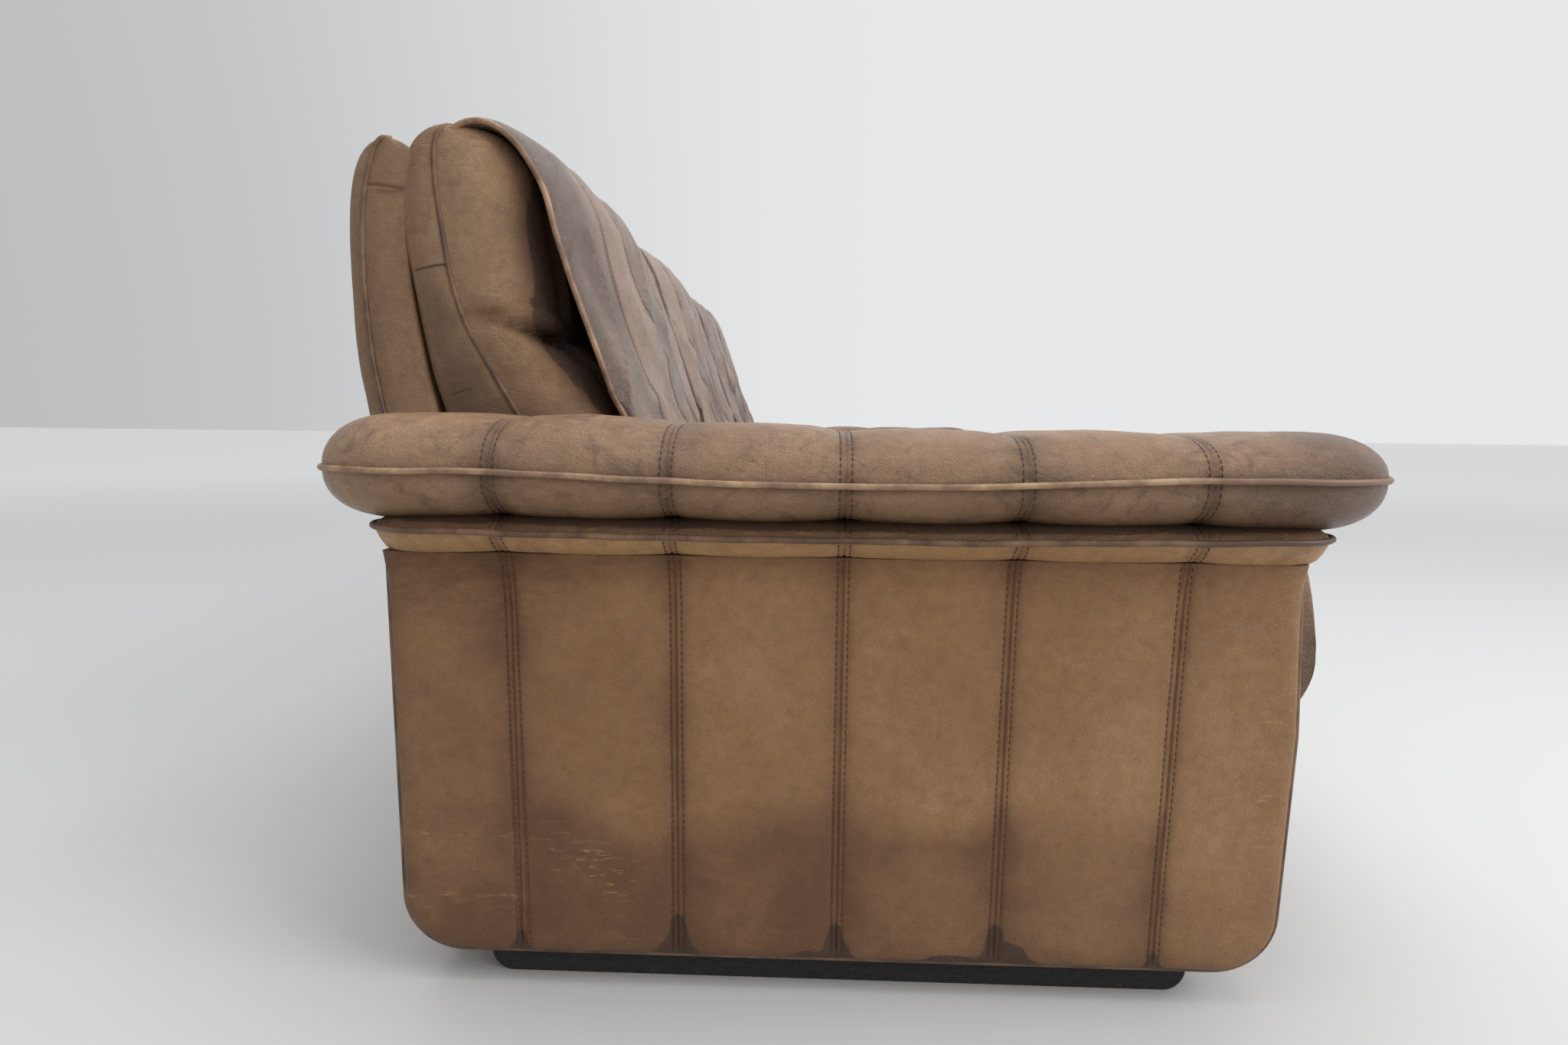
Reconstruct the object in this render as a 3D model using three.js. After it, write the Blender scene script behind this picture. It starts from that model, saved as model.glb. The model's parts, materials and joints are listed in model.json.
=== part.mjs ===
// A three-seat leather sofa of the 1970s: two box arms with loose bolster pads, a raked back,
// loose seat and back cushions, and a leather mat hanging over each back cushion.
// Millimetres, +Z up. +X runs along the sofa, -Y is the front, and the origin lies on the floor
// under the middle of the sofa. Every soft piece is a plain closed solid of its true outer size.
import * as THREE from "three";

// Driving dimensions
const SEATS = 3;
const INNER_HALF = 875; // half of the width between the arms
const ARM_THICKNESS = 200;
const ARM_HALF_DEPTH = 376; // half of the arm body, front to back
const ARM_BOTTOM = 32;
const ARM_TOP = 392;
const ARM_CORNER_R = 50;
const OUTER_PADDING = 34; // foam and leather over the outer face of an arm
const INNER_PADDING = 22;
const BAND_PADDING = 20;
const RUNNER_HEIGHT = 34.7;
const SEAT_FRAME_TOP = 190;
const SEAT_FRONT = -494;
const SEAT_TOP = 408;
const FIT = 0.3; // gap between pieces that touch
const SOFT_GAP = 2; // gap between neighbouring cushions

// Derived dimensions
const ARM_OUTER = INNER_HALF + ARM_THICKNESS;
const SEAT_PITCH = (2 * INNER_HALF) / SEATS;

const sofa = new THREE.Group();

const leather = { color: 0x8a6b4f, roughness: 0.55, metalness: 0 };
const matLeather = { color: 0x7d6452, roughness: 0.5, metalness: 0 };
const blackPaint = { color: 0x14161a, roughness: 0.7, metalness: 0 };
const beech = { color: 0xc69c6d, roughness: 0.65, metalness: 0 };
const rubberWebbing = { color: 0x5a4a3a, roughness: 0.8, metalness: 0 };
const blackCloth = { color: 0x191919, roughness: 0.95, metalness: 0 };

// Adds one named piece to the sofa.
function add(name, geometry, look) {
  const mesh = new THREE.Mesh(geometry, new THREE.MeshStandardMaterial(look));
  mesh.name = name;
  sofa.add(mesh);
  return mesh;
}

// A board or sheet given by its lowest and highest corner.
function addBlock(name, low, high, look) {
  const size = high.map((value, axis) => value - low[axis]);
  const mesh = add(name, new THREE.BoxGeometry(...size), look);
  mesh.position.set(...low.map((value, axis) => value + size[axis] / 2));
  return mesh;
}

// A side outline in (Y, Z), carried along X from x0 to x1.
function addProfile(name, outline, x0, x1, look) {
  const depth = x1 - x0;
  const geometry = new THREE.ExtrudeGeometry(outline, { depth, curveSegments: 8, bevelEnabled: false });
  const mesh = add(name, geometry, look);
  mesh.rotation.set(Math.PI / 2, Math.PI / 2, 0);
  mesh.position.x = x0;
  return mesh;
}

// A plan outline in (X, Y), carried up from z0 to z1, with its rim rounded by rimR.
function addPlan(name, outline, z0, z1, look, rimR, segments) {
  const geometry = new THREE.ExtrudeGeometry(outline, {
    depth: z1 - z0 - 2 * rimR,
    curveSegments: 6,
    bevelEnabled: true,
    bevelThickness: rimR,
    bevelSize: rimR,
    bevelOffset: -rimR,
    bevelSegments: segments,
  });
  const mesh = add(name, geometry, look);
  mesh.position.z = z0 + rimR;
  return mesh;
}

function polygon(points) {
  return new THREE.Shape(points.map(([a, b]) => new THREE.Vector2(a, b)));
}

// A rectangle with round corners, centred on (cx, cy).
function roundedRectangle(cx, cy, halfX, halfY, r) {
  const shape = new THREE.Shape();
  shape.absarc(cx + halfX - r, cy - halfY + r, r, -Math.PI / 2, 0, false);
  shape.absarc(cx + halfX - r, cy + halfY - r, r, 0, Math.PI / 2, false);
  shape.absarc(cx - halfX + r, cy + halfY - r, r, Math.PI / 2, Math.PI, false);
  shape.absarc(cx - halfX + r, cy - halfY + r, r, Math.PI, 1.5 * Math.PI, false);
  return shape;
}

// Arms ---------------------------------------------------------------------------------------

// The side of an arm: square at the top, with round lower corners.
function armSideOutline() {
  const side = new THREE.Shape();
  const inset = ARM_HALF_DEPTH - ARM_CORNER_R;
  side.moveTo(ARM_HALF_DEPTH, ARM_TOP);
  side.lineTo(-ARM_HALF_DEPTH, ARM_TOP);
  side.absarc(-inset, ARM_BOTTOM + ARM_CORNER_R, ARM_CORNER_R, Math.PI, 1.5 * Math.PI, false);
  side.absarc(inset, ARM_BOTTOM + ARM_CORNER_R, ARM_CORNER_R, 1.5 * Math.PI, 2 * Math.PI, false);
  return side;
}

// The padded band over an arm's front (end -1) or rear (end 1), which turns under at the corner.
function armBandOutline(end) {
  const centreZ = ARM_BOTTOM + ARM_CORNER_R;
  const centreY = end * (ARM_HALF_DEPTH - ARM_CORNER_R);
  const steps = 6;
  const arc = (radius) =>
    Array.from({ length: steps + 1 }, (_, i) => {
      const turn = (i / steps) * (Math.PI / 2);
      return [centreY + end * radius * Math.cos(turn), centreZ - radius * Math.sin(turn)];
    });
  const outer = arc(ARM_CORNER_R);
  const inner = arc(ARM_CORNER_R - BAND_PADDING).reverse();
  const top = [
    [end * (ARM_HALF_DEPTH - BAND_PADDING), ARM_TOP],
    [end * ARM_HALF_DEPTH, ARM_TOP],
  ];
  return polygon([...top, ...outer, ...inner]);
}

// All pieces of one arm. Across the arm, positions count from the middle of the sofa outwards.
function addArm(side, sign) {
  const span = (near, far) => (sign > 0 ? [near, far] : [-far, -near]);
  const padOverhang = 38;
  const padInset = 5; // both pads sit a little outwards on the arm
  const padHalfLength = 442;
  const padTop = 503;
  const padRimR = 41;
  const lowerPadOverhang = 25;
  const lowerPadHalfLength = 388;
  const lowerPadTop = 417.4;
  const boardThickness = 30;
  const bottomBoardTop = 84;
  const topBoardBottom = 360;

  const [outer0, outer1] = span(ARM_OUTER - OUTER_PADDING, ARM_OUTER);
  addProfile(`${side}_arm_outer_panel`, armSideOutline(), outer0, outer1, leather);
  const [inner0, inner1] = span(INNER_HALF + FIT, INNER_HALF + INNER_PADDING);
  addProfile(`${side}_arm_inner_panel`, armSideOutline(), inner0, inner1, leather);

  const [box0, box1] = span(INNER_HALF + INNER_PADDING + FIT, ARM_OUTER - OUTER_PADDING - FIT);
  addProfile(`${side}_arm_front_band`, armBandOutline(-1), box0, box1, leather);
  addProfile(`${side}_arm_rear_band`, armBandOutline(1), box0, box1, leather);

  // The wooden box inside the arm.
  const boxY = ARM_HALF_DEPTH - BAND_PADDING - FIT;
  const bottomY = ARM_HALF_DEPTH - ARM_CORNER_R - FIT;
  addBlock(
    `${side}_arm_bottom_board`,
    [box0, -bottomY, RUNNER_HEIGHT + FIT],
    [box1, bottomY, bottomBoardTop],
    beech,
  );
  addBlock(`${side}_arm_top_board`, [box0, -boxY, topBoardBottom], [box1, boxY, ARM_TOP], beech);
  [
    ["front", -boxY],
    ["rear", boxY - boardThickness],
  ].forEach(([end, y]) => {
    addBlock(
      `${side}_arm_${end}_board`,
      [box0, y, bottomBoardTop + FIT],
      [box1, y + boardThickness, topBoardBottom - FIT],
      beech,
    );
  });

  const [low0, low1] = span(INNER_HALF + padInset, ARM_OUTER + lowerPadOverhang);
  const lowerPad = roundedRectangle((low0 + low1) / 2, 0, (low1 - low0) / 2, lowerPadHalfLength, 45);
  addPlan(`${side}_arm_lower_pad`, lowerPad, ARM_TOP + FIT, lowerPadTop, leather, 10, 3);

  const [pad0, pad1] = span(INNER_HALF + padInset, ARM_OUTER + padOverhang);
  const pad = roundedRectangle((pad0 + pad1) / 2, 0, (pad1 - pad0) / 2, padHalfLength, 90);
  addPlan(`${side}_arm_pad`, pad, lowerPadTop + FIT, padTop, leather, padRimR, 4);

  addRunner(side, span);
}

// The black skid under an arm, with round lower ends.
function addRunner(side, span) {
  const halfLength = 312;
  const endR = 20;
  const inset = 50; // from the outer face of the arm
  const width = 60;
  const outline = new THREE.Shape();
  outline.moveTo(halfLength, RUNNER_HEIGHT);
  outline.lineTo(-halfLength, RUNNER_HEIGHT);
  outline.absarc(-halfLength + endR, endR, endR, Math.PI, 1.5 * Math.PI, false);
  outline.absarc(halfLength - endR, endR, endR, 1.5 * Math.PI, 2 * Math.PI, false);
  const [x0, x1] = span(ARM_OUTER - inset - width, ARM_OUTER - inset);
  addProfile(`${side}_runner`, outline, x0, x1, blackPaint);
}

// Seat frame -----------------------------------------------------------------------------------

const FRONT_RAIL_Y = [-340, -310];
const REAR_RAIL_Y = [306, 336];

function addSeatFrame() {
  const railBottom = 70;
  const crossBottom = 100;
  const crossWidth = 30;
  const half = INNER_HALF - FIT;
  [
    ["front_rail", FRONT_RAIL_Y],
    ["rear_rail", REAR_RAIL_Y],
  ].forEach(([name, [y0, y1]]) => {
    addBlock(name, [-half, y0, railBottom], [half, y1, SEAT_FRAME_TOP], beech);
  });
  for (let i = 0; i <= SEATS; i++) {
    const middle = -half + crossWidth / 2 + (i * (2 * half - crossWidth)) / SEATS;
    addBlock(
      `cross_rail_${i + 1}`,
      [middle - crossWidth / 2, FRONT_RAIL_Y[1] + FIT, crossBottom],
      [middle + crossWidth / 2, REAR_RAIL_Y[0] - FIT, SEAT_FRAME_TOP],
      beech,
    );
  }
}

// Rubber webbing across the seat frame, front to back, and the cloth that lies on it.
function addSeatDeck() {
  const strapsPerSeat = 3;
  const strapWidth = 55;
  const strapThickness = 3;
  const strapSetback = 4; // from the outer edge of the rails
  const clothThickness = 1.4;
  const bottom = SEAT_FRAME_TOP + FIT;
  for (let i = 0; i < SEATS * strapsPerSeat; i++) {
    const pitch = (2 * INNER_HALF) / (SEATS * strapsPerSeat);
    const middle = -INNER_HALF + (i + 0.5) * pitch;
    addBlock(
      `webbing_${i + 1}`,
      [middle - strapWidth / 2, FRONT_RAIL_Y[0] + strapSetback, bottom],
      [middle + strapWidth / 2, REAR_RAIL_Y[1] - strapSetback, bottom + strapThickness],
      rubberWebbing,
    );
  }
  const clothBottom = bottom + strapThickness + FIT;
  const clothHalf = INNER_HALF - SOFT_GAP;
  addBlock(
    "deck_cloth",
    [-clothHalf, FRONT_RAIL_Y[0], clothBottom],
    [clothHalf, REAR_RAIL_Y[1], clothBottom + clothThickness],
    blackCloth,
  );
  const dustCoverZ = [66, 68];
  addBlock(
    "dust_cover",
    [-clothHalf, FRONT_RAIL_Y[0], dustCoverZ[0]],
    [clothHalf, REAR_RAIL_Y[1], dustCoverZ[1]],
    blackCloth,
  );
  const apronFront = -364;
  const apronZ = [40, 194];
  addBlock(
    "front_apron",
    [-clothHalf, apronFront, apronZ[0]],
    [clothHalf, FRONT_RAIL_Y[0] - FIT, apronZ[1]],
    leather,
  );
}

// Back -----------------------------------------------------------------------------------------

// The rear face of the back, from the floor end up: raked, then upright, then curling over.
const REAR_FACE = [
  [397, 40],
  [446, 300],
  [483, 493],
  [494, 600],
  [494, 680],
  [485, 745],
];
// The front face of the back, from the top down.
const FRONT_FACE = [
  [451, 722],
  [443, 630],
  [410, 500],
  [365, 330],
  [340, 200],
];

// Moves an outline sideways in Y.
function shifted(points, dy) {
  return points.map(([y, z]) => [y + dy, z]);
}

function addBack() {
  const rearPadding = 20;
  const frontPadding = 15;
  const half = INNER_HALF - SOFT_GAP;
  const rearPanel = [...REAR_FACE, ...shifted(REAR_FACE, -rearPadding).reverse()];
  addProfile("back_rear_panel", polygon(rearPanel), -half, half, leather);
  const frontPanel = [...FRONT_FACE, ...shifted(FRONT_FACE, frontPadding).reverse()];
  addProfile("back_front_panel", polygon(frontPanel), -half, half, leather);

  // The soft roll that closes the top of the back.
  const roll = new THREE.Shape();
  roll.moveTo(485, 745 + FIT);
  roll.bezierCurveTo(481, 775, 452, 779, 447, 757);
  roll.lineTo(449, 722 + FIT);
  roll.lineTo(465, 745 + FIT);
  addProfile("back_top_roll", roll, -half, half, leather);

  // The wooden frame inside the back.
  const post = polygon([
    [337, 42],
    [361, 42],
    [390, 190],
    [458, 540],
    [438, 540],
    [383, 300],
    [358, 191],
    [337, 191],
  ]);
  const postWidth = 60;
  const endSetback = 20;
  const reach = half - endSetback - postWidth;
  for (let i = 0; i <= SEATS; i++) {
    const x0 = -reach - postWidth + (i * (2 * reach + postWidth)) / SEATS;
    addProfile(`back_post_${i + 1}`, post, x0, x0 + postWidth, beech);
  }
  const topRail = polygon([
    [438, 540 + FIT],
    [458, 540 + FIT],
    [468, 600],
    [454, 600],
  ]);
  addProfile("back_top_rail", topRail, -half + endSetback, half - endSetback, beech);
}

// Cushions ---------------------------------------------------------------------------------------

// The low, bull-nosed seat cushion.
function seatCushionOutline() {
  const bottom = 197;
  const noseZ = 268; // height of the front's furthest point
  const shape = new THREE.Shape();
  shape.moveTo(-430, bottom);
  shape.lineTo(330, bottom);
  shape.lineTo(366, 385);
  shape.quadraticCurveTo(366, SEAT_TOP - 4, 330, SEAT_TOP - 4);
  shape.lineTo(-390, SEAT_TOP);
  shape.bezierCurveTo(-460, SEAT_TOP, SEAT_FRONT, 330, SEAT_FRONT, noseZ);
  shape.bezierCurveTo(SEAT_FRONT, 226, -472, bottom, -430, bottom);
  return shape;
}

// The back cushion stands on the seat: a high soft head over a deeper foot.
function backCushionOutline() {
  const shape = new THREE.Shape();
  shape.moveTo(220, SEAT_TOP + 2);
  shape.lineTo(350, SEAT_TOP + 2);
  shape.quadraticCurveTo(396, 480, 418, 550);
  shape.quadraticCurveTo(438, 650, 443, 705);
  shape.bezierCurveTo(445, 770, 428, 790, 400, 790);
  shape.lineTo(376, 790);
  shape.bezierCurveTo(332, 787, 317, 735, 309, 690);
  shape.lineTo(298, 610);
  shape.bezierCurveTo(296, 560, 236, 520, 220, 465);
  shape.bezierCurveTo(204, 430, 206, SEAT_TOP + 2, 220, SEAT_TOP + 2);
  return shape;
}

// The mat's section: it starts on top of the cushion, turns over and hangs down its front.
function backMatOutline() {
  const thickness = 11;
  const top = new THREE.CubicBezierCurve(
    new THREE.Vector2(388, 793),
    new THREE.Vector2(350, 800),
    new THREE.Vector2(310, 785),
    new THREE.Vector2(293, 690),
  );
  const fall = new THREE.CubicBezierCurve(
    new THREE.Vector2(293, 690),
    new THREE.Vector2(283, 655),
    new THREE.Vector2(238, 540),
    new THREE.Vector2(214, 478),
  );
  const inner = [...top.getPoints(8), ...fall.getPoints(8).slice(1)];
  const outer = inner.map((point, i) => {
    const before = inner[Math.max(i - 1, 0)];
    const after = inner[Math.min(i + 1, inner.length - 1)];
    const along = after.clone().sub(before).normalize();
    return new THREE.Vector2(point.x + along.y * thickness, point.y - along.x * thickness);
  });
  return new THREE.Shape([...inner, ...outer.reverse()]);
}

function addCushions() {
  const matInset = 5;
  for (let i = 0; i < SEATS; i++) {
    const x0 = -INNER_HALF + i * SEAT_PITCH;
    const x1 = x0 + SEAT_PITCH;
    const low = x0 + SOFT_GAP;
    const high = x1 - SOFT_GAP;
    addProfile(`seat_cushion_${i + 1}`, seatCushionOutline(), low, high, leather);
    addProfile(`back_cushion_${i + 1}`, backCushionOutline(), low, high, leather);
    addProfile(`back_mat_${i + 1}`, backMatOutline(), low + matInset, high - matInset, matLeather);
  }
}

addArm("left", -1);
addArm("right", 1);
addSeatFrame();
addSeatDeck();
addBack();
addCushions();

export default sofa;
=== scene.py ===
import json
import math

import bmesh
import bpy
from mathutils import Matrix, Vector, noise
from mathutils.bvhtree import BVHTree


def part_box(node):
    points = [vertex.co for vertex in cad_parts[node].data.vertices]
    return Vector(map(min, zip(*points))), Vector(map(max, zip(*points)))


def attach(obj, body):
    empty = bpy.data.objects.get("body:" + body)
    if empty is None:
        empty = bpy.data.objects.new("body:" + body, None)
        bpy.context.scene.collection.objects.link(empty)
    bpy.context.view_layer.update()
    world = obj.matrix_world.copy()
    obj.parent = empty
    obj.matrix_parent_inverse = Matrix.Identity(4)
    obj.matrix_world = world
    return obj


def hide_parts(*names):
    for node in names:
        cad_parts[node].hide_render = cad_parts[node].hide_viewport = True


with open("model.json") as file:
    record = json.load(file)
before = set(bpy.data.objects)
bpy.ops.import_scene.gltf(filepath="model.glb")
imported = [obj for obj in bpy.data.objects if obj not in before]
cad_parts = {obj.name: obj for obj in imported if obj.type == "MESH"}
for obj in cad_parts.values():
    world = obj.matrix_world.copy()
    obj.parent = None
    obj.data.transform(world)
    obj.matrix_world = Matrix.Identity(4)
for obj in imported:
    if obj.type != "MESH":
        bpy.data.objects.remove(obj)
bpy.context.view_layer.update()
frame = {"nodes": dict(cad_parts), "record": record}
MM = 0.001

# ------------------------------------------------------------------ camera, floor and light

EYE = Vector((-0.7346, 0.0231, 0.498))  # its X is counted from the left arm's outer side
EYE_TURNS = (1.967, 6.04, 0.641)  # yaw, pitch and roll in degrees
LENS = 21.1


def make_camera():
    """Stands close in front of the left arm and looks along the sofa, a little down."""
    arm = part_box("left_arm_outer_panel")[0].x
    eye = Vector((arm, 0, 0)) + EYE
    yaw, pitch, roll = (math.radians(a) for a in EYE_TURNS)
    forward = Vector((math.cos(yaw) * math.cos(pitch), math.sin(yaw) * math.cos(pitch), -math.sin(pitch)))
    right = forward.cross(Vector((0, 0, 1))).normalized()
    up = right.cross(forward)
    rolled_right = right * math.cos(roll) + up * math.sin(roll)
    rolled_up = up * math.cos(roll) - right * math.sin(roll)
    data = bpy.data.cameras.new("camera")
    data.lens = LENS
    data.sensor_width = 36
    data.clip_start = 0.02
    camera = bpy.data.objects.new("camera", data)
    axes = Matrix((rolled_right, rolled_up, -forward)).transposed().to_4x4()
    camera.matrix_world = Matrix.Translation(eye) @ axes
    bpy.context.scene.collection.objects.link(camera)
    bpy.context.scene.camera = camera


make_camera()


def link(name, data):
    piece = bpy.data.objects.new(name, data)
    bpy.context.scene.collection.objects.link(piece)
    return piece


def area_light(name, place, aim, size, power):
    data = bpy.data.lights.new(name, "AREA")
    data.shape = "RECTANGLE"
    data.size, data.size_y = size
    data.energy = power
    light = link(name, data)
    light.location = place
    light.rotation_euler = (Vector(aim) - Vector(place)).to_track_quat("-Z", "Y").to_euler()


class Nodes:
    """A short way to write a material's nodes."""

    def __init__(self, name):
        self.material = bpy.data.materials.new(name)
        self.material.use_nodes = True
        self.tree = self.material.node_tree
        self.shader = self.tree.nodes["Principled BSDF"]
        place = self.tree.nodes.new("ShaderNodeTexCoord")
        self.object_place = place.outputs["Object"]

    def new(self, kind, values=None, **settings):
        node = self.tree.nodes.new("ShaderNode" + kind)
        for key, value in settings.items():
            setattr(node, key, value)
        for key, value in (values or {}).items():
            self.feed(node.inputs[key], value)
        return node

    def feed(self, socket, value):
        """Links a node's output to a socket, or writes a plain value there."""
        if isinstance(value, bpy.types.NodeSocket):
            self.tree.links.new(value, socket)
        else:
            socket.default_value = value

    def stretched(self, scale):
        """Object coordinates squeezed by a different number along each axis."""
        return self.new("Mapping", {"Vector": self.object_place, "Scale": scale}).outputs["Vector"]

    def noise(self, scale, detail=4.0, rough=0.55, vector=None, distortion=0.0):
        values = {"Scale": scale, "Detail": detail, "Roughness": rough, "Distortion": distortion}
        return self.new("TexNoise", {"Vector": vector or self.object_place, **values}).outputs["Fac"]

    def cells(self, scale):
        values = {"Vector": self.object_place, "Scale": scale}
        return self.new("TexVoronoi", values, feature="DISTANCE_TO_EDGE").outputs["Distance"]

    def attribute(self, name):
        return self.new("Attribute", attribute_name=name).outputs["Fac"]

    def span(self, value, low, high, to_low=0.0, to_high=1.0):
        """Stretches low..high to to_low..to_high and stops there."""
        values = {"Value": value, "From Min": low, "From Max": high, "To Min": to_low, "To Max": to_high}
        return self.new("MapRange", values, interpolation_type="SMOOTHSTEP").outputs["Result"]

    def sum(self, kind, a, b):
        return self.new("Math", {0: a, 1: b}, operation=kind).outputs["Value"]

    def mix(self, share, a, b):
        """Mixes colour b into colour a."""
        return self.new("Mix", {0: share, 6: a, 7: b}, data_type="RGBA").outputs[2]

    def to_shader(self, socket, value):
        self.feed(self.shader.inputs[socket], value)

    def bump(self, height, strength, distance):
        values = {"Height": height, "Strength": strength, "Distance": distance}
        self.to_shader("Normal", self.new("Bump", values).outputs["Normal"])


# painted light: the floor's colour is painted paler with distance, so that it fades into the bright backdrop
# far away
FLOOR_REACH = (1.0, 9.0)  # the floor turns paler between these distances from the sofa
FLOOR_TONES = (0.59, 0.93)
BRIGHT_SIDE = (0.800, 0.806, 0.820, 1)
DIM_SIDE = (0.500, 0.505, 0.510, 1)
DIM_FROM, DIM_TO = -0.1, 0.75  # how far a direction turns to the sofa's rear, as its Y


def make_floor():
    bm = bmesh.new()
    bmesh.ops.create_grid(bm, x_segments=1, y_segments=1, size=40)
    mesh = bpy.data.meshes.new("floor")
    bm.to_mesh(mesh)
    bm.free()
    floor = link("floor", mesh)
    n = Nodes("pale_floor")
    distance = n.new("VectorMath", {0: n.object_place}, operation="LENGTH").outputs["Value"]
    n.to_shader("Base Color", n.span(distance, *FLOOR_REACH, *FLOOR_TONES))
    n.to_shader("Roughness", 0.55)
    mesh.materials.append(n.material)


def make_studio():
    """A white room, a little dimmer behind the sofa's back than in front of it."""
    world = bpy.data.worlds.new("studio")
    bpy.context.scene.world = world
    world.use_nodes = True
    tree = world.node_tree
    place = tree.nodes.new("ShaderNodeTexCoord")
    axes = tree.nodes.new("ShaderNodeSeparateXYZ")
    side = tree.nodes.new("ShaderNodeMapRange")
    side.inputs["From Min"].default_value = DIM_FROM
    side.inputs["From Max"].default_value = DIM_TO
    side.interpolation_type = "SMOOTHSTEP"
    tint = tree.nodes.new("ShaderNodeMix")
    tint.data_type = "RGBA"
    tint.inputs[6].default_value = BRIGHT_SIDE
    tint.inputs[7].default_value = DIM_SIDE
    sky = tree.nodes["Background"]
    sky.inputs["Strength"].default_value = 1.0
    tree.links.new(place.outputs["Generated"], axes.inputs["Vector"])
    tree.links.new(axes.outputs["Y"], side.inputs["Value"])
    tree.links.new(side.outputs["Result"], tint.inputs[0])
    tree.links.new(tint.outputs[2], sky.inputs["Color"])
    area_light("window_front", (-2.2, -3.2, 2.6), (-0.6, 0, 0.4), (3.0, 2.4), 105)
    area_light("ceiling", (-0.5, 0.2, 3.4), (-0.5, 0.0, 0), (3.4, 3.0), 60)
    bpy.context.scene.view_settings.view_transform = "Standard"


make_floor()
make_studio()

# ------------------------------------------------------------------ materials


def rgb(r, g, b):
    return (r, g, b, 1.0)


def worn_leather(name, light, mid, dark, gloss=0.5, grain=1.0, wrinkle=1.0, blotch=0.15, shine=0.42):
    """Thick aniline leather. Vertex attributes of wear darken, pale, stain and crumple it; the darkening and
    the staining also carry painted shade where other parts shadow it.
    """
    n = Nodes(name)
    cloud = n.noise(3.1, 3.0, 0.6)
    mottle = n.noise(17.0, 5.0, 0.65, distortion=0.6)
    fine = n.noise(95.0, 4.0, 0.6)
    burnish_and_shade = n.attribute("burnish_and_shade")
    scuff = n.attribute("scuff")
    stain_and_shadow = n.attribute("stain_and_shadow")
    crumple = n.attribute("crumple")

    tone = n.sum("ADD", n.sum("MULTIPLY", cloud, 0.55), n.sum("MULTIPLY", mottle, 0.45))
    colour = n.mix(n.span(tone, 0.36, 0.64), mid, light)
    colour = n.mix(n.span(fine, 0.35, 0.75, 0.0, 0.22), colour, dark)
    blots = n.span(n.noise(34.0, 6.0, 0.72, distortion=1.1), 0.50, 0.70, 0.0, blotch)
    colour = n.mix(blots, colour, dark)
    patchy = n.sum("MULTIPLY", burnish_and_shade, n.span(mottle, 0.2, 0.75, 0.6, 1.2))
    colour = n.mix(n.span(patchy, 0.0, 1.0, 0.0, 0.85), colour, dark)

    # pale rubbed streaks and patches
    lying = {"Vector": n.object_place, "Rotation": (-0.62, 0.0, 0.0), "Scale": (1.0, 0.8, 5.0)}
    slanted = n.new("Mapping", lying).outputs["Vector"]
    scratches = n.span(n.noise(46.0, 5.0, 0.7, vector=slanted, distortion=0.35), 0.52, 0.645)
    patches = n.span(n.noise(30.0, 6.0, 0.72, distortion=0.5), 0.45, 0.75, 0.0, 0.55)
    rubbed = n.sum("MULTIPLY", scuff, n.sum("MAXIMUM", scratches, patches))
    pale = rgb(light[0] * 1.40, light[1] * 1.48, light[2] * 1.50)
    colour = n.mix(n.span(rubbed, 0.0, 1.0, 0.0, 0.62), colour, pale)

    # grime soaked into the leather, and painted shadow under the mats and the armrest pads, with an uneven
    # border
    border = n.sum("ADD", stain_and_shadow, n.sum("MULTIPLY", n.sum("SUBTRACT", n.noise(38.0, 5.0, 0.6), 0.5), 0.9))
    soak_and_shadow = n.span(border, 0.34, 0.50)
    colour = n.mix(n.sum("MULTIPLY", soak_and_shadow, 0.80), colour, rgb(0.034, 0.019, 0.012))

    pebble = n.cells(620.0)
    colour = n.mix(n.span(pebble, 0.0, 0.16, 0.30 * grain, 0.0), colour, dark)
    n.to_shader("Base Color", colour)
    gloss_noise = n.span(n.noise(40.0, 3.0), 0.3, 0.7, gloss - 0.07, gloss + 0.09)
    rough = n.sum("ADD", gloss_noise, n.sum("MULTIPLY", burnish_and_shade, -0.08))
    n.to_shader("Roughness", n.sum("ADD", rough, n.sum("MULTIPLY", rubbed, 0.12)))
    n.to_shader("Specular IOR Level", shine)

    folds = n.noise(150.0, 5.0, 0.7, vector=n.stretched((1.0, 1.0, 0.8)), distortion=0.8)
    height = n.sum("MULTIPLY", n.span(pebble, 0.0, 0.2), 0.35 * grain)
    height = n.sum("ADD", height, n.sum("MULTIPLY", folds, 0.8 * wrinkle))
    height = n.sum("ADD", height, n.sum("MULTIPLY", n.noise(32.0, 4.0, 0.6), 1.6 * wrinkle))
    creases = n.noise(75.0, 6.0, 0.75, vector=n.stretched((1.0, 0.8, 1.5)), distortion=1.6)
    height = n.sum("ADD", height, n.sum("MULTIPLY", n.sum("MULTIPLY", creases, crumple), 5.0))
    n.bump(height, 0.75, 1.3 * MM)
    return n.material


LEATHER = worn_leather(
    "brown_leather", rgb(0.405, 0.225, 0.102), rgb(0.300, 0.154, 0.062), rgb(0.102, 0.039, 0.013), 0.50
)
PAD_LEATHER = worn_leather(
    "armrest_leather", rgb(0.400, 0.236, 0.122), rgb(0.280, 0.155, 0.074), rgb(0.090, 0.042, 0.024), 0.36,
    grain=1.3, wrinkle=1.3, blotch=0.66, shine=0.55,
)
COLLAR_LEATHER = worn_leather(
    "collar_leather", rgb(0.500, 0.295, 0.132), rgb(0.400, 0.220, 0.094), rgb(0.085, 0.038, 0.018), 0.46,
    blotch=0.3,
)
CUSHION_LEATHER = worn_leather(
    "cushion_leather", rgb(0.370, 0.226, 0.122), rgb(0.275, 0.158, 0.080), rgb(0.078, 0.034, 0.015), 0.40,
    grain=1.2, wrinkle=1.2, blotch=0.25,
)
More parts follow.
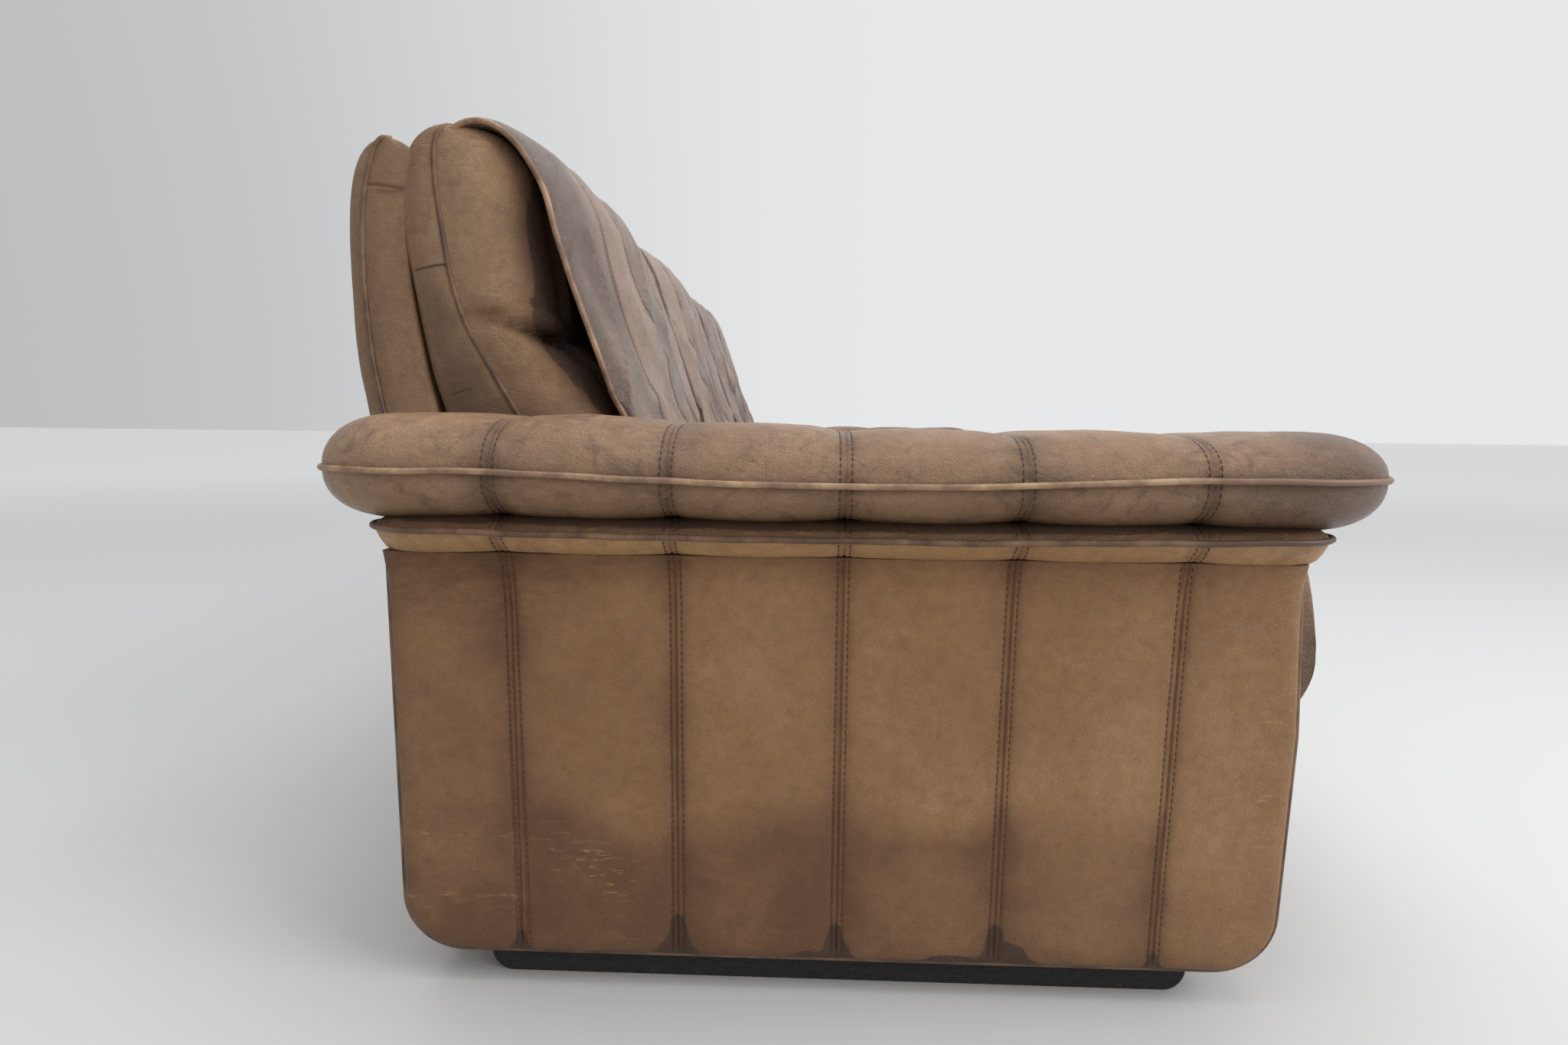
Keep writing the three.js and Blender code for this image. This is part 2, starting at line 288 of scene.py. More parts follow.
MAT_LEATHER = worn_leather(
    "mat_leather", rgb(0.350, 0.236, 0.172), rgb(0.250, 0.158, 0.108), rgb(0.065, 0.034, 0.022), 0.32,
    grain=1.1, wrinkle=1.3, blotch=0.35, shine=0.72,
)


def thread_finish():
    n = Nodes("dark_thread")
    fleck = n.span(n.noise(900.0, 2.0), 0.3, 0.7)
    n.to_shader("Base Color", n.mix(fleck, rgb(0.030, 0.016, 0.011), rgb(0.075, 0.042, 0.028)))
    n.to_shader("Roughness", 0.7)
    return n.material


THREAD = thread_finish()


def piping_finish(name, colour, dark):
    n = Nodes(name)
    darker = n.sum("MULTIPLY", n.attribute("burnish_and_shade"), 0.4)
    tone = n.sum("SUBTRACT", n.noise(28.0, 5.0, 0.65), darker)
    n.to_shader("Base Color", n.mix(n.span(tone, 0.35, 0.68), dark, colour))
    n.to_shader("Roughness", 0.5)
    n.bump(n.noise(420.0, 4.0), 0.4, 0.6 * MM)
    return n.material


PIPING = piping_finish("piping_leather", rgb(0.190, 0.104, 0.052), rgb(0.075, 0.037, 0.020))
MAT_PIPING = piping_finish("mat_piping", rgb(0.360, 0.215, 0.122), rgb(0.130, 0.070, 0.040))
PAD_PIPING = piping_finish("armrest_piping", rgb(0.400, 0.262, 0.144), rgb(0.180, 0.100, 0.058))


def dusty_black():
    n = Nodes("dusty_black_wood")
    fibres = n.noise(300.0, 4.0, 0.7, vector=n.stretched((1, 0.5, 2.0)))
    specks = n.span(n.noise(210.0, 3.0, 0.8), 0.66, 0.74)
    base = n.mix(n.span(fibres, 0.3, 0.7), rgb(0.010, 0.010, 0.011), rgb(0.026, 0.024, 0.024))
    n.to_shader("Base Color", n.mix(n.sum("MULTIPLY", specks, 0.6), base, rgb(0.22, 0.20, 0.18)))
    n.to_shader("Roughness", 0.85)
    n.bump(fibres, 0.6, 1.2 * MM)
    return n.material


def raw_beech():
    n = Nodes("raw_beech")
    rays = n.noise(60.0, 6.0, 0.65, vector=n.stretched((0.12, 1, 1)))
    n.to_shader("Base Color", n.mix(n.span(rays, 0.3, 0.7), rgb(0.42, 0.26, 0.13), rgb(0.60, 0.42, 0.24)))
    n.to_shader("Roughness", 0.7)
    return n.material


def woven_cloth(name, dark, light, scale):
    n = Nodes(name)
    threads = {"Vector": n.object_place, "Scale": scale}
    bands, across = (n.new("TexWave", threads, bands_direction=axis).outputs["Fac"] for axis in "XY")
    weave = n.sum("MULTIPLY", bands, across)
    n.to_shader("Base Color", n.mix(n.span(weave, 0.1, 0.8), dark, light))
    n.to_shader("Roughness", 0.9)
    n.bump(weave, 0.5, 0.5 * MM)
    return n.material


CAD_FINISHES = {
    "runner_black": dusty_black(),
    "beech": raw_beech(),
    "webbing": woven_cloth("rubber_webbing", rgb(0.05, 0.035, 0.022), rgb(0.16, 0.11, 0.07), 260.0),
    "black_cloth": woven_cloth("black_lining", rgb(0.008, 0.008, 0.008), rgb(0.03, 0.03, 0.03), 420.0),
    "leather": LEATHER,
    "mat_leather": MAT_LEATHER,
}


def finish_cad_nodes():
    for row in frame["record"]["subparts"]:
        node = frame["nodes"][row["node"]]
        node.data.materials.clear()
        node.data.materials.append(CAD_FINISHES[row["material_slot"]])


finish_cad_nodes()

# ------------------------------------------------------------------ helpers for sewn leather

SEAM_SIDE = 4.6 * MM  # from a seam to each row of its top stitching
SEAM_STEPS = [d * MM for d in (0.7, 1.6, 3.0, 3.9, 4.6, 5.4, 7.0, 10.0, 15.0, 22.0)]
EDGE_STEPS = [d * MM for d in (0.6, 1.5, 2.7, 4.2, 6.0, 8.5, 12.0)]


def stations(low, high, step, seams=(), edges=True):
    """Places for a grid's lines: even steps, and close ones beside each seam and both edges."""
    marks = {low, high}
    for seam in seams:
        marks |= {seam} | {seam + side * d for d in SEAM_STEPS for side in (-1, 1)}
    if edges:
        marks |= {low + d for d in EDGE_STEPS} | {high - d for d in EDGE_STEPS}
    fixed = sorted(m for m in marks if low <= m <= high)
    result = [fixed[0]]
    for mark in fixed[1:]:
        gap = mark - result[-1]
        parts = max(1, round(gap / step))
        start = result[-1]
        result += [start + gap * i / parts for i in range(1, parts)]
        if mark - result[-1] > 0.2 * MM:
            result.append(mark)
    return result


def sewn(distance, puff, reach=16 * MM):
    """How far the leather stands proud at a distance from a lapped seam with two rows of stitches."""
    d = abs(distance)
    groove = -1.4 * MM * hill(d, 0.9 * MM)
    channel = -0.8 * MM * hill(d - SEAM_SIDE, 0.9 * MM)
    rise = puff * (1 - fade(max(0.0, d - SEAM_SIDE), reach))
    return groove + channel + rise


def nearest(value, seams):
    return min((abs(value - seam) for seam in seams), default=1.0)


def grid(across, along):
    """A flat grid whose vertices carry the stations that they stand for."""
    bm = bmesh.new()
    columns, rows = len(across) - 1, len(along) - 1
    bmesh.ops.create_grid(bm, x_segments=columns, y_segments=rows, size=0.5)
    for v in bm.verts:
        column = round((v.co.x + 0.5) * columns)
        row = round((v.co.y + 0.5) * rows)
        v.co = (across[column], along[row], 0)
    return bm


def to_piece(bm, name, material, marks=None):
    """Turns a bmesh into a finished piece that rides on the sofa. marks(point) gives the wear and the
    painted shade.
    """
    bmesh.ops.recalc_face_normals(bm, faces=bm.faces)
    for face in bm.faces:
        face.smooth = True
    mesh = bpy.data.meshes.new(name)
    bm.to_mesh(mesh)
    bm.free()
    mesh.materials.append(material)
    if marks:
        wear = [(*marks(v.co), 0.0)[:4] for v in mesh.vertices]
        for index, key in enumerate(("burnish_and_shade", "scuff", "stain_and_shadow", "crumple")):
            layer = mesh.attributes.new(key, "FLOAT", "POINT")
            layer.data.foreach_set("value", [unit(w[index]) for w in wear])
    piece = link(name, mesh)
    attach(piece, "root")
    return piece


def cap_open_edges(bm):
    open_edges = [e for e in bm.edges if e.is_boundary]
    bmesh.ops.holes_fill(bm, edges=open_edges, sides=0)


def close_back(bm, axis, depth):
    """Walls a sheet's rim back to a depth along an axis, and closes the opening there."""
    rim = [e for e in bm.edges if e.is_boundary]
    skirt = bmesh.ops.extrude_edge_only(bm, edges=rim)["geom"]
    for v in (g for g in skirt if isinstance(g, bmesh.types.BMVert)):
        v.co[axis] = depth
    cap_open_edges(bm)


def pour(part, whole):
    """Adds one bmesh to another and frees it."""
    mesh = bpy.data.meshes.new("part")
    part.to_mesh(mesh)
    part.free()
    whole.from_mesh(mesh)
    bpy.data.meshes.remove(mesh)


def even_seams(low, high, strips):
    """Where the seams between equal strips lie."""
    return [low + (high - low) * i / strips for i in range(1, strips)]


def stitch_rows(seams):
    """Where the two rows of stitches beside each seam lie."""
    return [seam + side for seam in seams for side in (-SEAM_SIDE, SEAM_SIDE)]


def unit(value):
    return min(1.0, max(0.0, value))


def share_above(value, low, high):
    """0 below low, 1 above high and even between."""
    return unit((value - low) / (high - low))


def hill(distance, width):
    """1 at no distance, dying away evenly on both sides."""
    return math.exp(-((distance / width) ** 2))


def fade(distance, width):
    """1 at no distance, dying away quickly at first and slowly later."""
    return math.exp(-distance / width)


def wobble(point, scale, seed=0.0):
    """Smooth noise from -1 to 1 at a point, features about 1/scale metres apart."""
    return noise.noise(Vector(point) * scale + Vector((seed, seed * 1.7, -seed)))


def tube(name, routes, radius, material, closed=False, marks=None):
    """Piping: a round cord sewn in leather along each route of points. marks(point) is its burnish."""
    data = bpy.data.curves.new(name, "CURVE")
    data.dimensions = "3D"
    data.bevel_depth = radius
    data.bevel_resolution = 3
    data.use_fill_caps = True
    for route in routes:
        line = data.splines.new("POLY")
        line.points.add(len(route) - 1)
        for point, place in zip(line.points, route):
            point.co = (*place, 1)
        line.use_cyclic_u = closed
    source = link(name + "_line", data)
    mesh = bpy.data.meshes.new_from_object(source.evaluated_get(bpy.context.evaluated_depsgraph_get()))
    bpy.data.objects.remove(source)
    for polygon in mesh.polygons:
        polygon.use_smooth = True
    mesh.materials.clear()
    mesh.materials.append(material)
    mesh.name = name
    if marks:
        layer = mesh.attributes.new("burnish_and_shade", "FLOAT", "POINT")
        layer.data.foreach_set("value", [marks(v.co) for v in mesh.vertices])
    piece = link(name, mesh)
    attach(piece, "root")
    return piece


STITCH = 4.6 * MM
STITCH_PITCH = 6.0 * MM
THREAD_R = 0.55 * MM


class Stitching:
    """Collects rows of stitches and makes one piece of them."""

    BATCH = 32  # a small mesh grows faster than a large one

    def __init__(self):
        self.places = []

    def row(self, surface, points, look_from):
        """Lays stitches along points, dropped onto a surface against the look_from direction."""
        tree = surface_tree(surface)
        outward = Vector(look_from).normalized()
        on_leather = []
        for point in points:
            hit = tree.ray_cast(Vector(point) + outward * 0.06, -outward, 0.12)
            if hit[0] is not None:
                on_leather.append((hit[0], hit[1]))
        self.along(on_leather)

    def along(self, on_leather):
        carried = 0.0
        for (a, normal), (b, _) in zip(on_leather, on_leather[1:]):
            step = (b - a).length
            while carried < step:
                place = a.lerp(b, carried / step if step else 0)
                self.places.append((place, (b - a).normalized(), normal))
                carried += STITCH_PITCH
            carried -= step

    def make(self, name):
        whole = bmesh.new()
        for first in range(0, len(self.places), self.BATCH):
            few = bmesh.new()
            for place, along, normal in self.places[first : first + self.BATCH]:
                side = normal.cross(along).normalized()
                up = along.cross(side)
                turn = Matrix((along, side, up)).transposed().to_4x4()
                size = Matrix.Diagonal((STITCH / 2, THREAD_R * 1.15, THREAD_R, 1))
                spot = Matrix.Translation(place + up * 0.15 * MM) @ turn @ size
                bmesh.ops.create_uvsphere(few, u_segments=6, v_segments=4, radius=1, matrix=spot @ LYING)
            pour(few, whole)
        piece = to_piece(whole, name, THREAD)
        return piece


LYING = Matrix.Rotation(math.pi / 2, 4, "Y")  # turns a sphere's poles to its two ends


def surface_tree(piece):
    mesh = piece.data
    corners = [v.co.copy() for v in mesh.vertices]
    return BVHTree.FromPolygons(corners, [tuple(p.vertices) for p in mesh.polygons])


def line(start, end, step=3 * MM):
    start, end = Vector(start), Vector(end)
    parts = max(2, round((end - start).length / step))
    return [start.lerp(end, i / parts) for i in range(parts + 1)]


# ------------------------------------------------------------------ forms for pads and cushions


class Curve:
    """A smooth line through a few points in (Y, Z), in millimetres, read by its share of length."""

    STEPS = 24

    def __init__(self, points):
        knots = [Vector((0, y * MM, z * MM)) for y, z in points]
        knots = [knots[0] * 2 - knots[1], *knots, knots[-1] * 2 - knots[-2]]
        self.points = []
        for a, b, c, d in zip(knots, knots[1:], knots[2:], knots[3:]):
            for step in range(self.STEPS):
                t = step / self.STEPS
                bend = (a * 2 - b * 5 + c * 4 - d) * t**2 + (b * 3 - a - c * 3 + d) * t**3
                self.points.append((b * 2 + (c - a) * t + bend) / 2)
        self.points.append(knots[-2])
        self.lengths = [0.0]
        for a, b in zip(self.points, self.points[1:]):
            self.lengths.append(self.lengths[-1] + (b - a).length)
        self.length = self.lengths[-1]

    def at(self, share):
        target = unit(share) * self.length
        low, high = 0, len(self.lengths) - 1
        while high - low > 1:
            middle = (low + high) // 2
            if self.lengths[middle] <= target:
                low = middle
            else:
                high = middle
        gap = self.lengths[high] - self.lengths[low]
        return self.points[low].lerp(self.points[high], (target - self.lengths[low]) / gap if gap else 0)


def quarter(share, reach):
    """Inset of a quarter round: reach at share 0, falling to nothing at share 1."""
    left = 1 - unit(share)
    return reach * (1 - math.sqrt(max(0.0, 1 - left * left)))


class Boxed:
    """A boxed cushion between a rear and a front curve, from end x0 to end x1.

    The cushion's side runs from the rear curve (share 0) to the front curve (share 1), by way of
    the seam curve at share front_at where one is given. Its rear edges are rounded up to share
    rear_at by rear_r, and its front edges from share front_at by front_r. Where the rear and front
    curves meet, the ends draw in by top_r. seams are the places of the seams between strips, and
    cross the shares of the height at which a seam crosses the gusset.
    """

    def __init__(
        self, rear, front, x0, x1, rear_at, rear_r, front_at, front_r, top_r,
        seams=(), step=8 * MM, cross=(), seam=None,
    ):
        self.rear, self.front, self.x0, self.x1 = rear, front, x0, x1
        self.rear_at, self.rear_r, self.front_at, self.front_r = rear_at, rear_r, front_at, front_r
        self.top_r, self.seams = top_r, list(seams)
        self.middle, self.half = (x0 + x1) / 2, (x1 - x0) / 2
        shares = [rear_at * i / 6 for i in range(6)]
        shares += [rear_at + (front_at - rear_at) * i / 8 for i in range(8)]
        shares += [front_at + (1 - front_at) * math.sin(math.pi / 2 * i / 9) for i in range(10)]
        rear_x = stations(x0 + rear_r, x1 - rear_r, step * 1.5, self.seams, edges=False)
        front_x = stations(x0 + front_r, x1 - front_r, step, self.seams, edges=False)
        self.loop = [(x, 0.0) for x in rear_x[:-1]]
        self.loop += [(x1, q) for q in shares]
        self.loop += [(x, 1.0) for x in reversed(front_x[1:-1])]
        self.loop += [(x0, q) for q in reversed(shares)]
        self.length = max(rear.length, front.length)
        rows = round(self.length / step)
        near = {c + d * MM / self.length for c in cross for d in (-4, -2, -1, 0, 1, 2, 4)}
        self.levels = sorted({i / rows for i in range(rows + 1)} | near)
        self.cross = cross
        self.seam = seam

    def section(self, q, v):
        rear, front = self.rear.at(v), self.front.at(v)
        if not self.seam:
            return rear.lerp(front, q)
        seam = self.seam.at(v)
        if q < self.front_at:
            return rear.lerp(seam, q / self.front_at)
        return seam.lerp(front, (q - self.front_at) / (1 - self.front_at))

    def cross_groove(self, v, depth):
        """The dip of the gusset's cross seams at a share v of the height."""
        return depth * hill(nearest(v, self.cross) * self.length, 1.5 * MM)

    def inset(self, q, v):
        if q < self.rear_at:
            return quarter(q / self.rear_at, self.rear_r)
        if q > self.front_at:
            reach = self.front_r * (1 - 0.6 * unit((v - 0.75) / 0.2))
            return quarter((1 - q) / (1 - self.front_at), reach)
        return 0.0

    def place(self, x, q, v, proud=0.0):
        """The point at a place x, a share q from rear to front and a share v of the height."""
        point = self.section(q, v)
        if x >= self.x1:
            x -= self.inset(q, v) - proud
        elif x <= self.x0:
            x += self.inset(q, v) - proud
        top_share = self.top_r / self.length
        draw = quarter((1 - v) / top_share, self.top_r)
        point.x = self.middle + (x - self.middle) * (self.half - draw) / self.half
        return point

    def across(self, q):
        """Share of the way over a side from the rear rounding to the front one."""
        return (q - self.rear_at) / (self.front_at - self.rear_at)

    def edges(self, q, stop=1.0):
        """Points along both ends' edges at share q, up to a share of the height, for piping."""
        levels = [v for v in self.levels if v <= stop]
        return [[self.place(x, q, v, 0.6 * MM) for v in levels] for x in (self.x0, self.x1)]

    def build(self, name, material, marks, relief):
        """relief(point, x, q, v) says how far the leather stands proud of the plain form."""
        bm = grid(list(range(len(self.loop) + 1)), self.levels)
        facts = {}
        for v in bm.verts:
            x, q = self.loop[round(v.co.x) % len(self.loop)]
            level = v.co.y
            facts[v] = (x, q, level)
            v.co = self.place(x, q, level)
        bm.normal_update()
        inside = Vector((self.middle, *self.rear.at(0.5).lerp(self.front.at(0.5), 0.5)[1:]))
        probe = max(bm.verts, key=lambda v: v.co.x)
        flip = -1 if probe.normal.dot(probe.co - inside) < 0 else 1
        moves = {v: v.normal * flip * relief(v.co, *facts[v]) for v in bm.verts}
        for v, move in moves.items():
            v.co += move
        bmesh.ops.remove_doubles(bm, verts=bm.verts, dist=0.05 * MM)
        cap_open_edges(bm)
        piece = to_piece(bm, name, material, marks)
        return piece


def rounded_corner(x, y, half_x, half_y, r):
    """Bends the square corners of a plan onto round ones."""
    a, b = abs(x) - (half_x - r), abs(y) - (half_y - r)
    if a <= 0 or b <= 0:
        return x, y
    ka, kb = a / r, b / r
    a, b = r * ka * math.sqrt(1 - kb * kb / 2), r * kb * math.sqrt(1 - ka * ka / 2)
    return math.copysign(half_x - r + a, x), math.copysign(half_y - r + b, y)


def inside_gap(x, y, half_x, half_y, r):
    """Distance from a round-cornered plan outline, inwards."""
    a, b = abs(x) - (half_x - r), abs(y) - (half_y - r)
    if a > 0 and b > 0:
        return r - math.hypot(a, b)
    return min(half_x - abs(x), half_y - abs(y))


def plan_outline(half_x, half_y, r, step=5 * MM):
    """Points round a plan with round corners, in order."""
    corners = ((1, -1, -90), (1, 1, 0), (-1, 1, 90), (-1, -1, 180))
    points = []
    for side_x, side_y, start in corners:
        centre = Vector((side_x * (half_x - r), side_y * (half_y - r)))
        for i in range(13):
            turn = math.radians(start + 7.5 * i)
            points.append(centre + Vector((math.cos(turn), math.sin(turn))) * r)
    route = []
    for a, b in zip(points, points[1:] + points[:1]):
        parts = max(1, round((b - a).length / step))
        route += [a.lerp(b, i / parts) for i in range(parts)]
    return route


def swell(gap, reach, power):
    """Height of a stuffed edge, from 0 at its seam to 1 where it levels off."""
    left = 1 - unit(gap / reach)
    return (1 - left**power) ** (1 / power)


ARM_PIPING_R = 2.6 * MM


class Pad:
    """A pad of two faces sewn together along a piped seam, with cross seams over it.

    r is the plan's corner radius, and seam_z(y) the height of the piped seam. top and bottom are
    each face's (reach, power) of swelling in from the seam, and puff the height between seams.
    brim raises the top's border, foot pushes the under face's ends out, and slump(y) moves the top.
    """

    def __init__(self, node, r, seam_z, seams, top, bottom, puff, brim=0.0, foot=0.0, slump=lambda y: 0.0):
        self.low, self.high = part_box(node)
        self.node = node
        self.centre = (self.low + self.high) / 2
        self.half = (self.high - self.low) / 2
        self.r, self.seam_z, self.seams = r, seam_z, seams
        self.top, self.bottom, self.puff = top, bottom, puff
        self.brim, self.foot, self.slump = brim, foot, slump

    def build(self, name, material, marks):
        hx, hy = self.half.x, self.half.y
        across = stations(-hx, hx, 6 * MM)
        along = stations(-hy, hy, 6 * MM, self.seams)
        bm = bmesh.new()
        for face in (1, -1):
            half = grid(across, along)
            for v in half.verts:
                v.co = self.place(v.co.x, v.co.y, face)
            pour(half, bm)
        bmesh.ops.remove_doubles(bm, verts=bm.verts, dist=0.05 * MM)
        piece = to_piece(bm, name, material, marks)
        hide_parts(self.node)
        return piece

    def place(self, x, y, face):
        hx, hy = self.half.x, self.half.y
        x, y = rounded_corner(x, y, hx, hy, self.r)
        gap = inside_gap(x, y, hx, hy, self.r)
        seam_z = self.seam_z(y)
        reach, power = (self.top if face > 0 else self.bottom)
        level = self.high.z + self.slump(y) if face > 0 else self.low.z
        height = swell(gap, reach, power)
        seam_gap = nearest(y, self.seams)
        proud = sewn(seam_gap, self.puff, 26 * MM) - self.puff
        at = (self.centre.x * 3 + x, y, face * 0.3)
        crumple = 1.5 * MM * wobble(at, 13, 2.0) + 0.5 * MM * wobble(at, 45, 4.0)
        puckers = wobble((x * 0.4 + face, y * 2.2, self.centre.x), 60, 6.0)
        crumple += 0.45 * MM * puckers * fade(seam_gap, 22 * MM)
        flat = 1.0 if face > 0 else 0.35
        relief = (proud + crumple * flat) * min(1.0, gap / (6 * MM))
        z = seam_z + (level - seam_z) * height + face * relief * height
        if face > 0 and gap < 0.05:
            z += self.brim * math.sin(math.pi * gap / 0.05)
        x *= self.pinch(y)
        if face < 0:
            at_end = unit((abs(y) - hy + 60 * MM) / (40 * MM))
            y += math.copysign(self.foot, y) * height * at_end
        return Vector((self.centre.x + x, self.centre.y + y, z))

    def pinch(self, y):
        """The cross seams draw the pad's two sides in a little."""
        return 1 - 1.6 * MM * fade(nearest(y, self.seams), 7 * MM) / self.half.x

    def piping(self, name, material, proud):
        """Piping round the pad, burnished dark at its front end."""
        wider, longer = 1 + proud / self.half.x, 1 + proud / self.half.y
        route = []
        for x, y in plan_outline(self.half.x, self.half.y, self.r):
            z = self.seam_z(y) + 0.8 * MM * wobble((x, y, self.centre.x), 22, 3.0)
            route.append((self.centre.x + x * self.pinch(y) * wider, self.centre.y + y * longer, z))
        tube(name, [route], ARM_PIPING_R, material, True, lambda point: share_above(-point.y, 0.27, 0.34))

    def stitch(self, stitches):
        """Two rows of stitches over the pad beside each cross seam, on both faces."""
        reach = 1 - 0.2 * MM / self.half.x
        turns = [math.pi / 2 * (i / 70 - 1) for i in range(141)]
        for y in stitch_rows(self.seams):
            for face in (1, -1):
                spots = []
                for turn in turns:
                    x = self.half.x * reach * math.sin(turn)
                    here = self.place(x, y, face)
                    across = self.place(x + 0.4 * MM, y, face) - self.place(x - 0.4 * MM, y, face)
                    along = self.place(x, y + 0.4 * MM, face) - self.place(x, y - 0.4 * MM, face)
                    spots.append((here, across.cross(along).normalized() * face))
                stitches.along(spots)


# ------------------------------------------------------------------ the arms

ARM_LOW, ARM_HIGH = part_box("left_arm_outer_panel")
HALF_DEPTH = ARM_HIGH.y
PANEL_TOP = ARM_HIGH.z + 0.5 * MM
CORNER_R = 50 * MM
PANEL_SEAMS = [136.5 * MM * i for i in range(-2, 3)]
PAD_SEAMS = [138 * MM * i for i in range(-2, 3)]
PANEL_ROLL = 7 * MM
PANEL_LEAN = 25 * MM


def corner_round(y, z):
    """Bends the square lower corners of a side panel onto a round corner."""
    y, down = rounded_corner(y, z - PANEL_TOP, HALF_DEPTH, PANEL_TOP - ARM_LOW.z, CORNER_R)
    return y, PANEL_TOP + down


def edge_gap(y, z):
    """Distance from a side panel's outline, inwards. The panel is the lower half of a plan."""
    return inside_gap(y, z - PANEL_TOP, HALF_DEPTH, PANEL_TOP - ARM_LOW.z, CORNER_R)


STRIP_TONES = (0.10, 0.0, 0.0, 0.14, 0.32, 0.52)  # each strip's own darkness, front to rear
# water marks: place along the arm, half width, height and strength
WATER_MARKS = (
    (0.138, 24, 38, 1.0), (0.001, 22, 34, 1.0), (-0.137, 22, 36, 1.0), (-0.152, 36, 20, 1.0),
    (-0.100, 60, 10, 1.0), (0.022, 34, 9, 1.0), (0.277, 13, 24, 0.8), (-0.273, 14, 18, 0.85),
)


def near_arm_marks(point):
    """The wear of the left arm's outer panel, and painted shade at its top: burnish, scuff and stain."""
    y, z = point.y, point.z
    seam_gap = nearest(y, PANEL_SEAMS)
    strip = sum(1 for seam in PANEL_SEAMS if y > seam)
    burnish_and_shade = STRIP_TONES[strip]
    burnish_and_shade += 0.45 * fade(seam_gap, 7 * MM) + 0.26 * fade(seam_gap, 22 * MM)
    burnish_and_shade += 0.22 * fade(edge_gap(y, z), 12 * MM)
    # the lower third has soaked up damp, up to an uneven soft line
    tide = 0.185 + 0.035 * wobble((0, y, 0), 9, 3.0) - (0.05 if strip in (0, 5) else 0.0)
    damp = unit((tide - z) / 0.045)
    burnish_and_shade += (0.28 if strip in (0, 5) else 0.54) * damp
    # painted shade: darker towards the panel's top, under the overhanging collar
    burnish_and_shade += 0.30 * max(0.0, (z - 0.365) / 0.03) + 0.14 * wobble((0, y, z * 0.5), 9, 3.0)
    burnish_and_shade += 0.18 * wobble((0, y * 0.7, z), 22, 6.0)
    stain_and_shadow = 0.0
    for place, width, height, strength in WATER_MARKS:
        up = (z - ARM_LOW.z) / (height * MM)
        spread = 0.22 + 0.78 * math.exp(-2.8 * up)
        reach = abs(y - place) / (width * MM * spread)
        stain_and_shadow = max(stain_and_shadow, strength * (1.05 - 0.6 * reach) * unit((1.2 - up) / 0.3))
    # pale rubbed places and long fine scratches
    scuff = 0.16
    scuff += 1.1 * hill(y - 0.212, 0.034) * hill(z - 0.118 - 0.5 * (y - 0.212), 0.022)
    scuff += 0.75 * hill(y + 0.352, 0.008) * max(0.0, 1 - abs(z - 0.2) / 0.13)
    scuff += 0.45 * hill(y + 0.09, 0.034) * hill(z - 0.185, 0.02)
    scuff += 0.35 * hill(y - 0.345, 0.006) * max(0.0, 1 - abs(z - 0.16) / 0.12)
    if y > 0.28:
        scuff += 0.45 * hill(z - 0.085, 0.005) + 0.45 * hill(z - 0.14, 0.004)
    crumple = 0.12 + 0.5 * max(0.0, (z - 0.33) / 0.06)
    crumple += 0.6 * share_above(z, 0.31, 0.37) * share_above(y, 0.18, 0.30)
    return burnish_and_shade, scuff, stain_and_shadow, crumple


def arm_marks(point):
    """Plain wear for the panels that are less worn."""
    seam_gap = nearest(point.y, PANEL_SEAMS)
    burnish_and_shade = 0.24 + 0.55 * fade(seam_gap, 9 * MM) + 0.12 * fade(seam_gap, 30 * MM)
    burnish_and_shade += 0.25 * max(0.0, (0.14 - point.z) / 0.11) + 0.2 * wobble(point, 9, 4.0)
    return burnish_and_shade, 0.2, 0.0


def drawn_back(y, z):
    """How far an arm's front edge stands back near its top."""
    rise = (z - ARM_LOW.z) / (ARM_HIGH.z - ARM_LOW.z)
    return 9 * MM * share_above(-y, 0.30, HALF_DEPTH) * share_above(rise, 0.60, 0.95)


def make_side_panel(side, face, marks):
    """A side of an arm: six sewn strips over foam, rolled in along its outline."""
    low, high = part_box(f"{side}_arm_{face}_panel")
    outward = 1 if (low.x > 0) == (face == "outer") else -1
    face_x = high.x if outward > 0 else low.x
    back_x = low.x if outward > 0 else high.x
    lean = PANEL_LEAN if face == "outer" else 0.0
    height = PANEL_TOP - ARM_LOW.z

    def inset(z):
        return 1 * MM + lean * (PANEL_TOP - z) / height

    def widened(y, rise, flare):
        """The outer side grows a little towards the floor at the rear, and flares at the top."""
        return y + flare * y / HALF_DEPTH + 0.2 * lean * (1 - rise) * max(0.0, y) / HALF_DEPTH

    bm = grid(stations(-HALF_DEPTH, HALF_DEPTH, 7 * MM, PANEL_SEAMS), stations(ARM_LOW.z, PANEL_TOP, 7 * MM))
    for v in bm.verts:
        y, z = corner_round(v.co.x, v.co.y)
        rise = (z - ARM_LOW.z) / height
        gap = edge_gap(y, z)
        rolled = quarter(gap / PANEL_ROLL, PANEL_ROLL)
        proud = sewn(nearest(y, PANEL_SEAMS), 2.6 * MM, 20 * MM) * min(1.0, gap / (12 * MM))
        proud += 1.3 * MM * wobble((0, y * 0.8, z), 11, face_x * 9) * min(1.0, gap / (20 * MM))
        proud += 0.35 * MM * wobble((0, y, z), 48, face_x * 5)
        flare = 3 * MM * max(0.0, (rise - 0.85) / 0.15) ** 2
        x = face_x - outward * (inset(z) + rolled - proud - flare)
        v.co = (x, widened(y, rise, flare) + drawn_back(y, z), z)
    close_back(bm, 0, back_x)
    panel = to_piece(bm, f"{side}_{face}_panel_cover", LEATHER, marks)
    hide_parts(f"{side}_arm_{face}_panel")

    route = []
    for y, z in side_outline():
        y = widened(y, (z - ARM_LOW.z) / height, 0.0) + drawn_back(y, z)
        route.append((face_x - outward * (inset(z) + PANEL_ROLL - 1 * MM), y, z))
    return panel, outward, route


